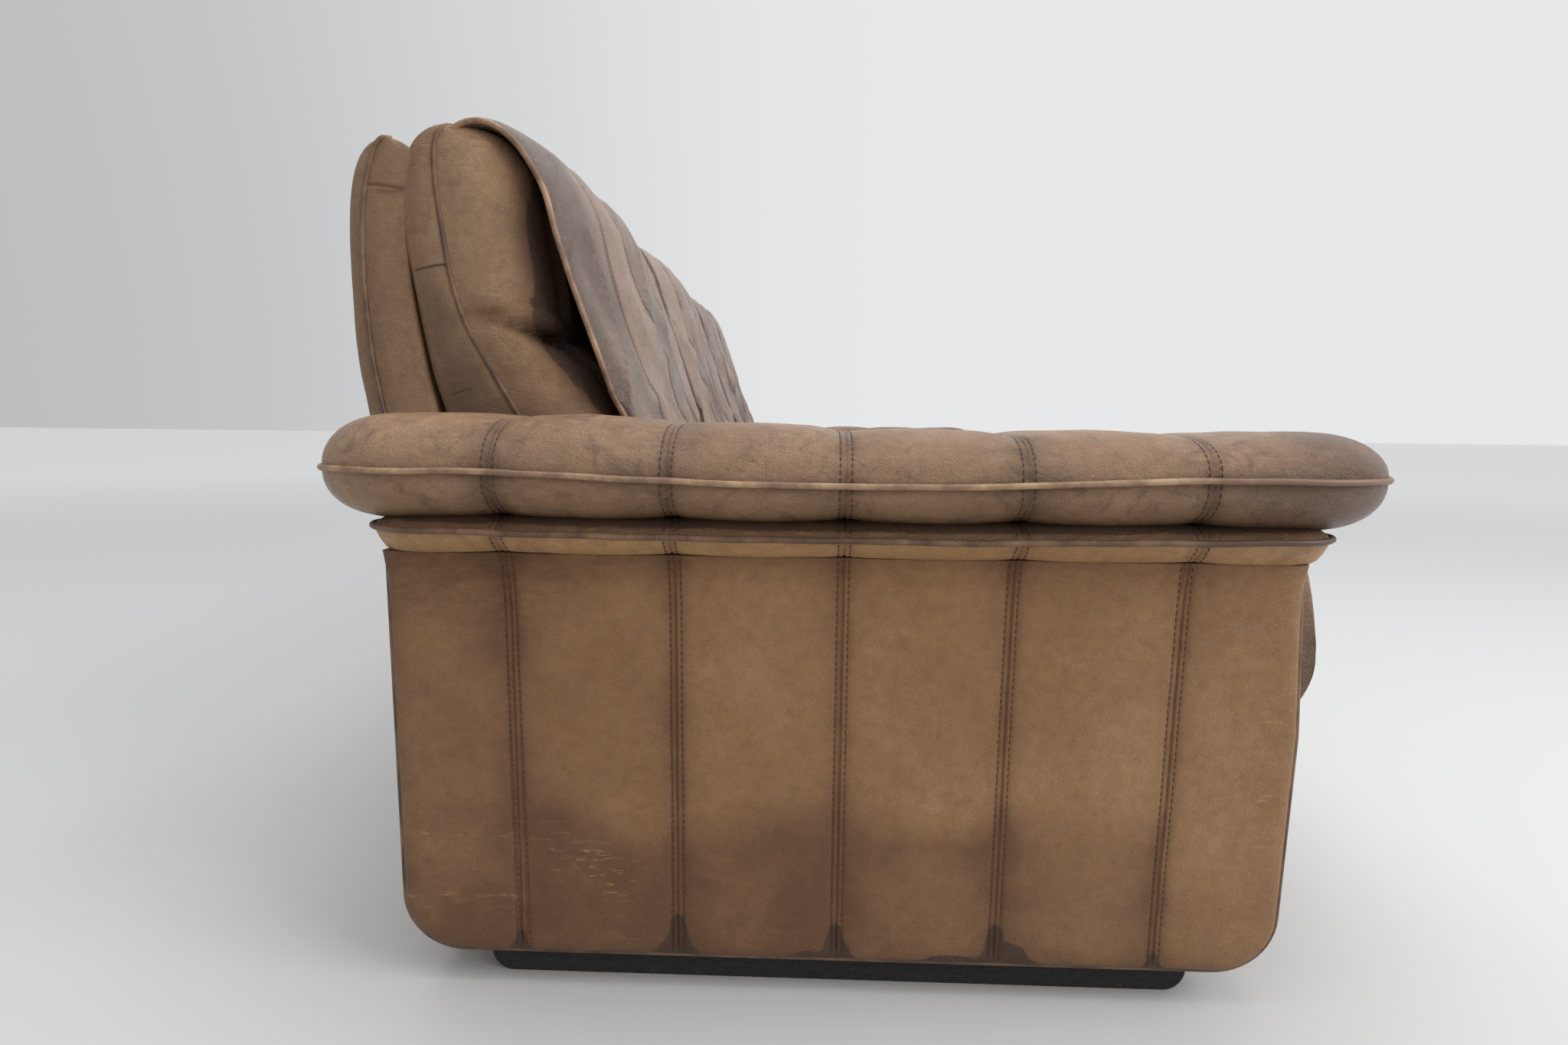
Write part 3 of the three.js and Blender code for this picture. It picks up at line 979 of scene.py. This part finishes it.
def side_outline():
    """Points along a side panel's edge: down the front, round the corners and up the rear."""
    half, r, low, top = HALF_DEPTH, CORNER_R, ARM_LOW.z, PANEL_TOP
    points = [(-half, top - (top - low - r) * i / 40) for i in range(41)]
    for centre, start in ((-1, 180), (1, 270)):
        for i in range(13):
            turn = math.radians(start + 7.5 * i)
            points.append((centre * (half - r) + r * math.cos(turn), low + r + r * math.sin(turn)))
    points += [(half, low + r + (top - low - r) * i / 40) for i in range(1, 41)]
    return points


def make_band(side, end):
    """The padded strip over an arm's front (-1) or rear (1), which turns under at the bottom."""
    word = "front" if end < 0 else "rear"
    node = f"{side}_arm_{word}_band"
    low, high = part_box(node)
    outline = [p for p in side_outline() if p[0] * end > 0.3 * HALF_DEPTH]
    outline = sorted(outline, key=lambda p: (round(p[1], 4), -abs(p[0])))
    half = (high.x - low.x) / 2 + 4 * MM
    middle = (high.x + low.x) / 2
    corner = Vector((0, end * (HALF_DEPTH - CORNER_R), ARM_LOW.z + CORNER_R))
    bm = grid(stations(-half, half, 8 * MM), list(range(len(outline))))
    for v in bm.verts:
        y, z = outline[round(v.co.y)]
        x = v.co.x
        turned = unit((corner.z - z) / (30 * MM))
        crown = 4.5 * MM * (1 - (x / half) ** 2) - 3 * MM - 3.5 * MM * turned
        crown += 0.9 * MM * wobble((middle + x, y, z), 14, 5.0) + 0.4 * MM * wobble((x, y, z), 50, 1.0)
        normal = Vector((0, end, 0))
        if z <= corner.z:
            normal = (Vector((0, y, z)) - corner).normalized()
        v.co = Vector((middle + x, y + drawn_back(y, z), z)) + normal * crown
    bmesh.ops.solidify(bm, geom=bm.faces, thickness=8 * MM * end)
    piece = to_piece(bm, node + "_cover", CUSHION_LEATHER, arm_marks)
    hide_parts(node)


def pad_seam_height(y):
    """The piped seam of a loose arm pad sags towards the middle."""
    return (452 + 8 * min(1.0, (abs(y) / 0.27) ** 1.6)) * MM


def collar_seam_height(y):
    return (409 + 5 * (abs(y) / 0.4) ** 2) * MM


def pad_marks(point):
    seam_gap = nearest(point.y, PAD_SEAMS)
    burnish_and_shade = 0.42 * fade(seam_gap, 9 * MM) + 0.12 * fade(seam_gap, 30 * MM)
    seam_z = pad_seam_height(point.y)
    burnish_and_shade += 0.17 * (1 if point.z < seam_z else 0) + 0.45 * fade(abs(point.z - seam_z), 5 * MM)
    burnish_and_shade += 0.80 * share_above(-point.y, 0.29, 0.37)
    burnish_and_shade += 0.35 * wobble(point, 16, 8.0)
    scuff = 0.25 + 0.35 * max(0.0, (point.z - 0.48) / 0.02)
    if point.y > 0.33 and point.z < seam_z:
        scuff += 0.9 * hill(point.y - 0.41, 0.03)
    crumple = 0.25 + 0.6 * fade(seam_gap, 30 * MM) + 0.5 * fade(abs(point.z - seam_z), 10 * MM)
    return burnish_and_shade, scuff, 0.0, crumple


def collar_marks(point):
    seam_gap = nearest(point.y, PAD_SEAMS)
    above = point.z - collar_seam_height(point.y)
    # painted shadow: above its piped seam the collar lies in the armrest pad's shade, painted dark there and
    # nearly black higher up
    burnish_and_shade = 0.5 * fade(seam_gap, 9 * MM) + (1.0 if above > 1 * MM else 0.05)
    return burnish_and_shade, 0.25, 0.8 * share_above(above, 4 * MM, 9 * MM)


def make_arm(side):
    marks = near_arm_marks if side == "left" else arm_marks
    stitches = Stitching()
    edges = []
    for face in ("outer", "inner"):
        panel, outward, route = make_side_panel(side, face, marks if face == "outer" else arm_marks)
        edges.append(route)
        low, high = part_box(f"{side}_arm_{face}_panel")
        x = high.x if outward > 0 else low.x
        for y in stitch_rows(PANEL_SEAMS):
            route = line((x, y, low.z + 8 * MM), (x, y, high.z - 1 * MM))
            stitches.row(panel, route, (outward, 0, 0))
    tube(f"{side}_arm_edge_piping", edges, ARM_PIPING_R, PIPING)
    make_band(side, -1)
    make_band(side, 1)

    collar = Pad(
        f"{side}_arm_lower_pad", 45 * MM, collar_seam_height, PAD_SEAMS,
        (22 * MM, 2.0), (19 * MM, 1.2), 1.6 * MM, brim=8 * MM, foot=8 * MM,
    )
    piece = collar.build(f"{side}_collar", COLLAR_LEATHER, collar_marks)
    collar.piping(f"{side}_collar_piping", PIPING, 1.2 * MM)
    collar.stitch(stitches)

    pad = Pad(
        f"{side}_arm_pad", 92 * MM, pad_seam_height, PAD_SEAMS,
        (66 * MM, 2.2), (58 * MM, 2.3), 4.8 * MM, slump=lambda y: (3 - 9 * unit((0.22 - y) / 0.25)) * MM,
    )
    piece = pad.build(f"{side}_armrest", PAD_LEATHER, pad_marks)
    pad.piping(f"{side}_armrest_piping", PAD_PIPING, 0.8 * MM)
    pad.stitch(stitches)
    stitches.make(f"{side}_arm_stitching")


for arm_side in ("left", "right"):
    make_arm(arm_side)

# ------------------------------------------------------------------ the back

BACK_REAR = Curve([
    (402, 40), (452, 300), (490, 500), (500, 557), (503, 600), (504, 665), (501, 724), (494, 755),
    (480, 775), (456, 781),
])
BACK_FRONT = Curve([
    (339, 40), (342, 200), (367, 330), (411, 500), (436, 630), (436, 700), (428, 740), (433, 768),
    (456, 781),
])


BACK_STRIPS = 12  # the apron has as many


def back_marks(point):
    burnish_and_shade = 0.42 + 0.25 * wobble(point, 6, 2.0) + 0.3 * max(0.0, (0.5 - point.z) / 0.5)
    burnish_and_shade += 0.6 * hill(point.z - 0.727, 1.5 * MM) * (1 if abs(point.x) > 0.86 else 0)
    return burnish_and_shade, 0.22, 0.0, 0.15


def make_back():
    low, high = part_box("back_rear_panel")
    seams = even_seams(low.x, high.x, BACK_STRIPS)
    form = Boxed(
        BACK_REAR, BACK_FRONT, low.x, high.x, 0.30, 17 * MM, 0.86, 8 * MM, 9 * MM, seams, cross=(0.911,)
    )

    def relief(point, x, q, v):
        proud = 1.6 * MM * wobble(point, 8, 4.0) + 0.5 * MM * wobble(point, 34, 2.0)
        if x in (form.x0, form.x1) and q > form.rear_at:
            proud -= form.cross_groove(v, 2.2 * MM)
        if q == 0.0:
            proud += sewn(nearest(x, seams), 4 * MM, 24 * MM) - 4 * MM
        if 0 < form.across(q) < 1:
            proud += 2.5 * MM * math.sin(math.pi * form.across(q))
        return proud

    piece = form.build("back_cover", CUSHION_LEATHER, back_marks, relief)
    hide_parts("back_rear_panel", "back_front_panel", "back_top_roll")
    tube("back_piping", form.edges(form.rear_at), 2.5 * MM, PIPING)
    stitches = Stitching()
    for x in stitch_rows(seams):
        route = [form.place(x, 0.0, v) for v in form.levels[1:-4]]
        stitches.row(piece, route, (0, 1, 0))
    stitches.make("back_stitching")


make_back()

# ------------------------------------------------------------------ back cushions and their mats

CUSHION_PIPING_R = 2.7 * MM
CUSHION_REAR = Curve([
    (350, 410), (394, 480), (419, 555), (436, 644), (445, 705), (444, 738), (435, 770), (419, 787),
    (396, 794),
])
CUSHION_FRONT = Curve([
    (212, 410), (208, 440), (225, 490), (254, 538), (280, 566), (301, 580), (296, 600), (298, 640),
    (307, 690), (313, 732), (324, 762), (345, 785), (370, 793), (396, 794),
])
CUSHION_SEAM = Curve([
    (268, 410), (300, 462), (331, 511), (356, 553), (378, 592), (393, 637), (402, 689), (408, 741),
    (407, 775), (396, 794),
])


def crown(x, low, high, height=17 * MM):
    """How far a cushion's middle swells beyond its two ends."""
    return height * (1 - abs(2 * (x - low) / (high - low) - 1) ** 3)


def above_crease(point):
    """Height over the deep crease that runs from a cushion's front back towards the piping."""
    return point.z - (0.583 + 0.35 * (point.y - 0.30))


def cushion_marks(point):
    burnish_and_shade = 0.08 + 0.3 * wobble(point, 9, 1.0)
    piping_y = CUSHION_SEAM.at(unit((point.z - 0.40) / 0.41)).y
    burnish_and_shade += (0.40 + 0.22 * unit((0.68 - point.z) / 0.05)) * unit((point.y - piping_y) / 0.02)
    # painted shade: thin dark lines in the crevices along both sides of the piping
    burnish_and_shade += 0.35 * fade(abs(point.y - piping_y), 0.006)
    burnish_and_shade += 0.25 * max(0.0, (0.56 - point.z) / 0.1)
    # painted shade: under the mat the leather is painted nearly black, where the mat's shadow falls
    front_y = 0.297 - 0.88 * max(0.0, 0.585 - point.z)
    front_y += 0.18 * max(0.0, point.z - 0.64) + 0.7 * max(0.0, point.z - 0.748)
    reach = 0.032 - 0.020 * share_above(point.z, 0.70, 0.77)
    under_mat_shade = share_above(front_y - point.y, -0.006 - reach, 0.022 - reach)
    burnish_and_shade += 0.8 * under_mat_shade
    scuff = 0.2 + 0.5 * max(0.0, (point.z - 0.72) / 0.06)
    fold = above_crease(point)
    crumple = 0.15 + 0.85 * hill(fold, 0.035) * unit((0.40 - point.y) / 0.05)
    crumple += 0.35 * fade(abs(point.y - piping_y), 0.012)
    # painted shade: a dark line along the bottom of the crease's groove
    burnish_and_shade += 0.35 * hill(fold, 0.006) * unit((0.38 - point.y) / 0.05)
    return burnish_and_shade, scuff * (1 - under_mat_shade), 0.8 * max(0.0, 2 * under_mat_shade - 1), crumple


def make_back_cushion(number):
    node = f"back_cushion_{number}"
    low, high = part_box(node)
    form = Boxed(
        CUSHION_REAR, CUSHION_FRONT, low.x, high.x, 0.05, 6 * MM, 0.32, 50 * MM, 14 * MM,
        step=4.5 * MM, seam=CUSHION_SEAM,
    )

    def relief(point, x, q, v):
        proud = 2.2 * MM * wobble(point, 9, number * 3.0) + 0.7 * MM * wobble(point, 30, number * 5.0)
        if x in (form.x0, form.x1):
            if 0 < form.across(q) < 1:
                proud += 3 * MM * math.sin(math.pi * form.across(q))
            else:
                past = max(0.0, q - form.front_at) / (1 - form.front_at)
                proud += 9 * MM * math.sin(math.pi * past) * min(1.0, (1 - v) * 5)
            fold = above_crease(point)
            near = unit((0.385 - point.y) / 0.075)
            proud -= 15 * MM * near * hill(fold, 5 * MM)
            proud += 8 * MM * near * hill(fold - 16 * MM, 10 * MM)
            proud += 3 * MM * near * hill(fold + 20 * MM, 14 * MM)
            second = point.z - (0.612 - 0.25 * (point.y - 0.33))
            proud -= 3.0 * MM * hill(point.y - 0.345, 0.022) * hill(second, 4 * MM)
            puckers = wobble((point.y * 0.8, point.z * 2.0, x), 80, 9.0)
            proud += 2.4 * MM * near * puckers * hill(fold, 30 * MM)
        elif q == 1.0:
            proud += crown(x, low.x, high.x) * min(1.0, (1 - v) * 7)
        return proud

    piece = form.build(node + "_cover", CUSHION_LEATHER, cushion_marks, relief)
    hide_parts(node)
    tube(node + "_piping", form.edges(form.front_at), CUSHION_PIPING_R, PIPING)
    # the gusset is pieced: its cross seams rise from the rear edge to the piping
    joins = []
    for x in (form.x0, form.x1):
        for level in (0.335, 0.637):
            join = []
            for step in range(13):
                q = 0.055 + 0.25 * step / 12
                v = level + 0.20 * (q - 0.185)
                join.append(form.place(x, q, v, relief(form.section(q, v), x, q, v) - 0.4 * MM))
            joins.append(join)
    tube(node + "_gusset_joins", joins, 1.0 * MM, THREAD)


MAT_FALL = Curve([
    (396, 786), (378, 795), (360, 796), (343, 789), (327, 775), (312, 754), (298, 726), (286, 682),
    (272, 639), (256, 594), (240, 550), (226, 512), (213, 480),
])
MAT_THICKNESS = 9 * MM
MAT_STRIPS = 4


def mat_lines():
    """Where the mats' ends lie, and their ends and seams together."""
    boxes = [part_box(f"back_mat_{number}") for number in (1, 2, 3)]
    ends = [corner.x for box in boxes for corner in box]
    seams = [seam for low, high in boxes for seam in even_seams(low.x, high.x, MAT_STRIPS)]
    return ends, ends + seams


MAT_ENDS, MAT_SEAMS = mat_lines()


def mat_marks(point):
    burnish_and_shade = 0.30 + 1.1 * wobble((point.x, point.y * 0.4, point.z * 0.4), 11, 6.0)
    burnish_and_shade += 0.3 * wobble((point.x, point.y * 0.3, point.z * 0.3), 34, 2.0)
    # painted shade: darker towards each mat's two ends, in the gaps where the mats meet
    burnish_and_shade += 1.3 * fade(nearest(point.x, MAT_ENDS), 14 * MM)
    burnish_and_shade += 0.7 * fade(nearest(point.x, MAT_SEAMS), 6 * MM)
    return burnish_and_shade, 0.3, 0.0, 0.14


def make_mat(number):
    node = f"back_mat_{number}"
    low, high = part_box(node)
    seams = even_seams(low.x, high.x, MAT_STRIPS)
    rows = stations(0.0, MAT_FALL.length, 7 * MM)
    corner = 44 * MM

    def shorten(x):
        """The hem rises at the mat's two lower corners."""
        gap = min(x - low.x, high.x - x)
        return quarter(gap / corner, corner * 1.3)

    def surface(x, along):
        reach = MAT_FALL.length - shorten(x)
        share = along / MAT_FALL.length * reach / MAT_FALL.length
        point = MAT_FALL.at(share)
        tangent = (MAT_FALL.at(share + 0.004) - MAT_FALL.at(share - 0.004)).normalized()
        normal = Vector((0, tangent.z, -tangent.y))
        if normal.y > 0 and normal.z < 0:
            normal.negate()
        hang = min(1.0, share * 1.6)
        folds = 9 * MM * hang * wobble((x - 0.12 * share, share * 0.3, number * 7.0), 7, number * 2.0)
        ridge = 1 - abs(wobble((x + 0.22 * share, share * 0.3, number * 3.0), 9, 5.0)) * 3.2
        folds += 6 * MM * hang * max(0.0, ridge) ** 2
        gap = min(x - low.x, high.x - x)
        proud = sewn(nearest(x, seams), 3.5 * MM, 24 * MM) - 4 * MM
        proud += folds * min(1.0, gap / (20 * MM) + 0.2)
        proud += crown(x, low.x, high.x, 20 * MM) * min(1.0, share * 5)
        if number > 1:
            proud += 12 * MM * min(1.0, share * 4) * fade(x - low.x, 28 * MM)
        point.x = x
        return point, normal, proud

    bm = bmesh.new()
    for inner in (False, True):
        sheet = grid(stations(low.x, high.x, 7 * MM, seams), rows)
        for v in sheet.verts:
            point, normal, proud = surface(v.co.x, v.co.y)
            rim = min(v.co.x - low.x, high.x - v.co.x, v.co.y, MAT_FALL.length - v.co.y)
            half = MAT_THICKNESS / 2 * swell(rim, 9 * MM, 2.0)
            v.co = point + normal * (0.35 * proud - half if inner else proud + half)
            if rim < 0.01 * MM:
                v.co = point + normal * proud * 0.6
        pour(sheet, bm)
    bmesh.ops.remove_doubles(bm, verts=bm.verts, dist=0.05 * MM)
    piece = to_piece(bm, node + "_cover", MAT_LEATHER, mat_marks)
    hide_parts(node)

    def on_edge(x, along, outward=0.0):
        point, normal, proud = surface(x, along)
        point.x += outward
        if along == MAT_FALL.length:
            point.z -= 1.5 * MM
        return point + normal * proud * 0.6

    hem = [(low.x, along, -1.5 * MM) for along in rows[1:]]
    hem += [(x, MAT_FALL.length, 0.0) for x in stations(low.x, high.x, 7 * MM)[1:-1]]
    hem += [(high.x, along, 1.5 * MM) for along in reversed(rows[1:])]
    tube(node + "_piping", [[on_edge(*spot) for spot in hem]], 3.1 * MM, MAT_PIPING)
    stitches = Stitching()
    for x in stitch_rows(seams):
        spots = []
        for along in rows[3:-2]:
            point, normal, proud = surface(x, along)
            spots.append((point + normal * (proud + MAT_THICKNESS / 2 + 0.3 * MM), normal))
        stitches.along(spots)
    stitches.make(node + "_stitching")


for seat in (1, 2, 3):
    make_back_cushion(seat)
    make_mat(seat)

# ------------------------------------------------------------------ seat cushions and apron

SEAT_UNDER = Curve([
    (358, 199), (200, 198), (-200, 198), (-440, 199), (-466, 206), (-479, 219), (-488, 240),
    (-491, 272),
])
SEAT_UPPER = Curve([
    (364, 384), (340, 402), (200, 404), (0, 400), (-200, 403), (-400, 404), (-444, 398),
    (-467, 383), (-478, 358), (-485, 325), (-491, 272),
])
SEAT_STRIPS = 4


def seat_marks(point):
    burnish_and_shade = 0.15 + 0.3 * wobble(point, 7, 3.0) + 0.5 * max(0.0, (0.36 - point.z) / 0.14)
    burnish_and_shade += 0.35 * share_above(-point.y, 0.40, 0.46)
    return burnish_and_shade, 0.35, 0.0


def make_seat(number):
    node = f"seat_cushion_{number}"
    low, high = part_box(node)
    seams = even_seams(low.x, high.x, SEAT_STRIPS)
    form = Boxed(SEAT_UNDER, SEAT_UPPER, low.x, high.x, 0.12, 12 * MM, 0.78, 18 * MM, 12 * MM, seams)

    def relief(point, x, q, v):
        proud = 3.2 * MM * wobble(point, 6, number * 4.0) + 1.0 * MM * wobble(point, 26, number * 2.0)
        if q == 1.0:
            proud += sewn(nearest(x, seams), 7 * MM, 30 * MM) - 6 * MM
            puckers = wobble((point.x * 2.0, point.y * 0.5, 0), 45, 2.0)
            proud += 0.9 * MM * puckers * fade(nearest(x, seams), 20 * MM)
        if q == 0.0:
            proud = 0.0 if v < 0.7 else proud
        return proud

    piece = form.build(node + "_cover", PAD_LEATHER, seat_marks, relief)
    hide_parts(node)
    tube(node + "_piping", form.edges(form.front_at, stop=0.9), CUSHION_PIPING_R, PIPING)
    stitches = Stitching()
    for x in stitch_rows(seams):
        route = [form.place(x, 1.0, v) for v in form.levels[4:-2]]
        stitches.row(piece, [p for p in route if p.y > -0.40], (0, 0, 1))
        stitches.row(piece, [p for p in route if p.y <= -0.40], (0, -1, 0.25))
    stitches.make(node + "_stitching")


def make_apron():
    low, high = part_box("front_apron")
    seams = even_seams(low.x, high.x, BACK_STRIPS)
    bm = grid(stations(low.x, high.x, 8 * MM, seams), stations(low.z, high.z, 8 * MM))
    for v in bm.verts:
        x, z = v.co.x, v.co.y
        gap = min(x - low.x, high.x - x, z - low.z, high.z - z)
        proud = sewn(nearest(x, seams), 2.6 * MM, 20 * MM) * min(1.0, gap / (12 * MM)) - 3 * MM
        proud += 1.2 * MM * wobble((x, 0, z), 10, 4.0) - quarter(gap / (8 * MM), 8 * MM)
        v.co = (x, low.y - proud, z)
    close_back(bm, 1, high.y)
    piece = to_piece(bm, "front_apron_cover", CUSHION_LEATHER, back_marks)
    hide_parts("front_apron")
    stitches = Stitching()
    for x in stitch_rows(seams):
        route = line((x, low.y, low.z + 8 * MM), (x, low.y, high.z - 8 * MM))
        stitches.row(piece, route, (0, -1, 0))
    stitches.make("front_apron_stitching")


for seat in (1, 2, 3):
    make_seat(seat)
make_apron()
